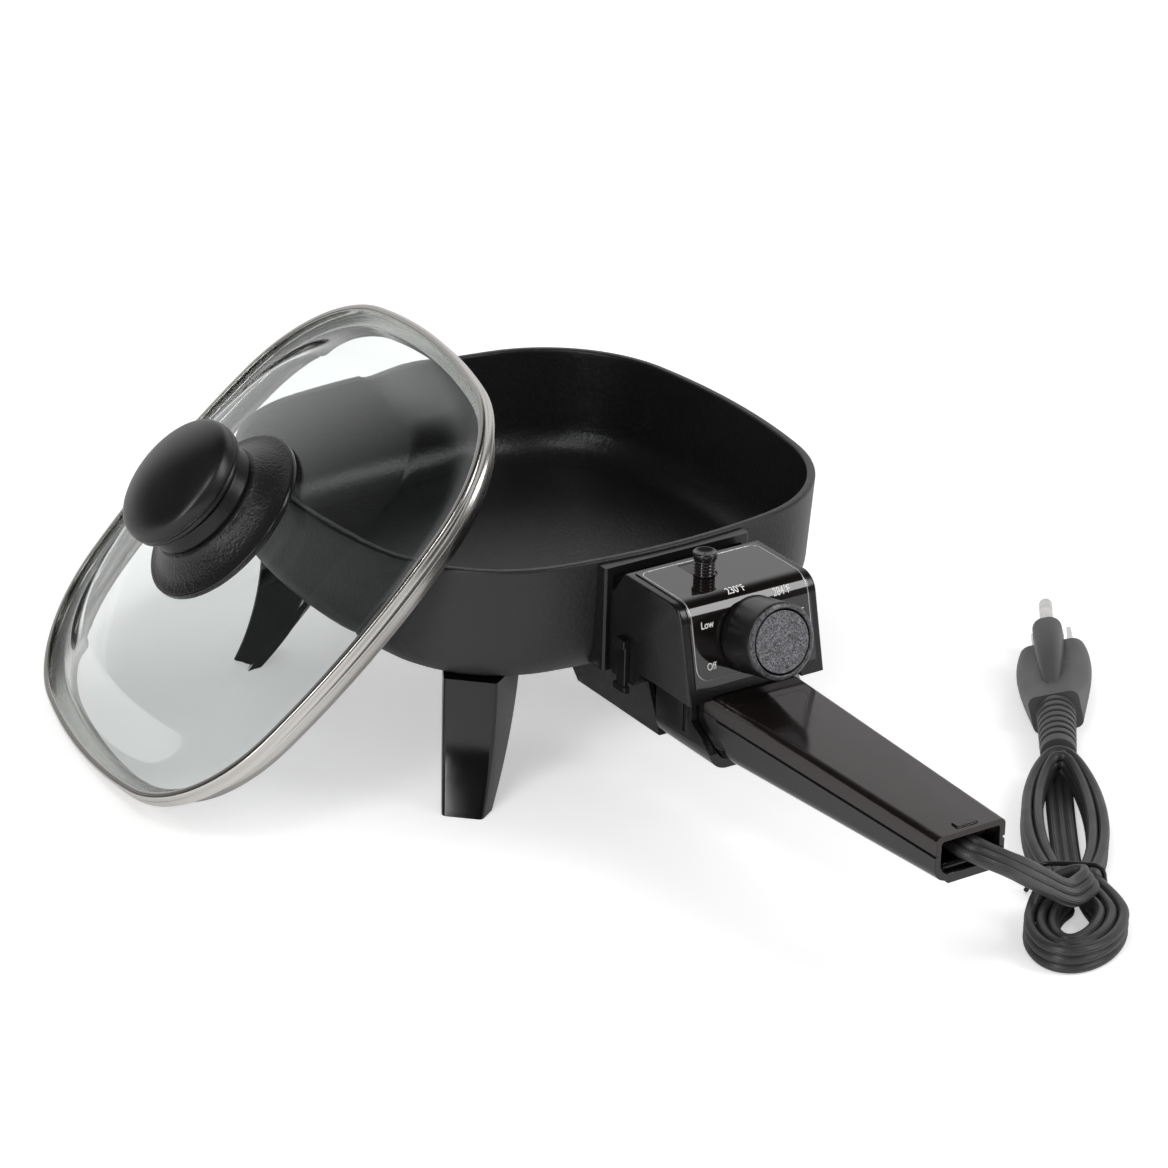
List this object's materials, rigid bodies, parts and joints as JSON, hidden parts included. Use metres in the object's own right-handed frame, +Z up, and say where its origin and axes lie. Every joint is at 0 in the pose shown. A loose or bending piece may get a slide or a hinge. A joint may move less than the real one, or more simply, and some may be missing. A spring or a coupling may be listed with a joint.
{
  "type": "electric skillet",
  "caption": "Small square electric skillet on splayed legs with a leaning glass lid, a dial box, one straight handle and a tied cord with plug.",
  "frame": {"origin": "centre of the pan on the table plane under the feet", "axes": "+Z up, handle along -Y, +X to the right when looking from the handle towards the pan"},
  "size_m": [0.3471, 0.3704, 0.1345],
  "materials": {
    "cast_body": "satin dark coating on a die-cast body",
    "element_sheath": "dull heat-stained steel sheath",
    "ceramic": "unglazed white ceramic",
    "screw_steel": "zinc plated",
    "bracket_steel": "black stove enamel",
    "black_moulding": "satin moulded phenolic",
    "black_gloss": "glossy moulded phenolic",
    "smoked_lens": "smoked lamp lens",
    "lamp_glass": "small glow lamp",
    "plated_steel": "nickel plated",
    "bimetal": "rolled bimetal strip",
    "brass": "turned brass",
    "grey_insert": "dark grey speckled",
    "cord_jacket": "ribbed dark grey jacket",
    "tie_plastic": "coated wire tie",
    "plug_rubber": "matte moulded plug",
    "lid_glass": "clear toughened glass",
    "stainless": "brushed stainless band",
    "seal_rubber": "heat-proof washer"
  },
  "bodies": {
    "skillet": {"pan": "cast_body", "heating_element": "element_sheath", "terminal_insulators": "ceramic", "leg_screws": "screw_steel", "handle_bracket": "bracket_steel", "bracket_screws": "screw_steel", "wall_frame": "black_moulding", "control_housing": "black_moulding", "control_base": "black_moulding", "side_latches": "black_moulding", "dial_panel": "black_gloss", "indicator_lens": "smoked_lens", "neon_lamp": "lamp_glass", "thermostat_frame": "plated_steel", "thermostat_stack": "ceramic", "bimetal_blade": "bimetal", "bush_nut": "brass", "handle_collar": "black_moulding", "handle_top_shell": "black_gloss", "handle_bottom_shell": "black_moulding", "handle_screws": "screw_steel", "cord_guide": "black_moulding", "cord_clamp": "black_moulding", "cord_run": "cord_jacket", "cord_hank": "cord_jacket", "cord_tail": "cord_jacket", "twist_tie": "tie_plastic", "plug_relief": "plug_rubber", "plug_body": "plug_rubber", "plug_blades": "plated_steel", "ground_pin": "plated_steel", "leg_handle_left": "black_moulding", "leg_handle_right": "black_moulding", "leg_far_right": "black_moulding", "leg_far_left": "black_moulding"},
    "dial": {"dial_shaft": "brass", "dial_knob": "black_gloss", "dial_insert": "grey_insert"},
    "lid": {"lid_glass": "lid_glass", "lid_band": "stainless", "knob_skirt": "black_moulding", "knob_neck": "black_moulding", "lid_knob": "black_moulding", "knob_washer_rubber": "seal_rubber", "knob_washer_steel": "plated_steel", "knob_screw": "screw_steel"}
  },
  "joints": [
    {"name": "dial_turn", "type": "hinge", "parent": "skillet", "child": "dial", "pos_m": [0, -0.13391, 0.0742], "axis": [0, -0.9744, 0.225], "range_deg": [-270, 0]},
    {"name": "lid_lift", "type": "slide", "parent": "skillet", "child": "lid", "axis": [0, 0, 1], "range_m": [0, 0.2]}
  ]
}
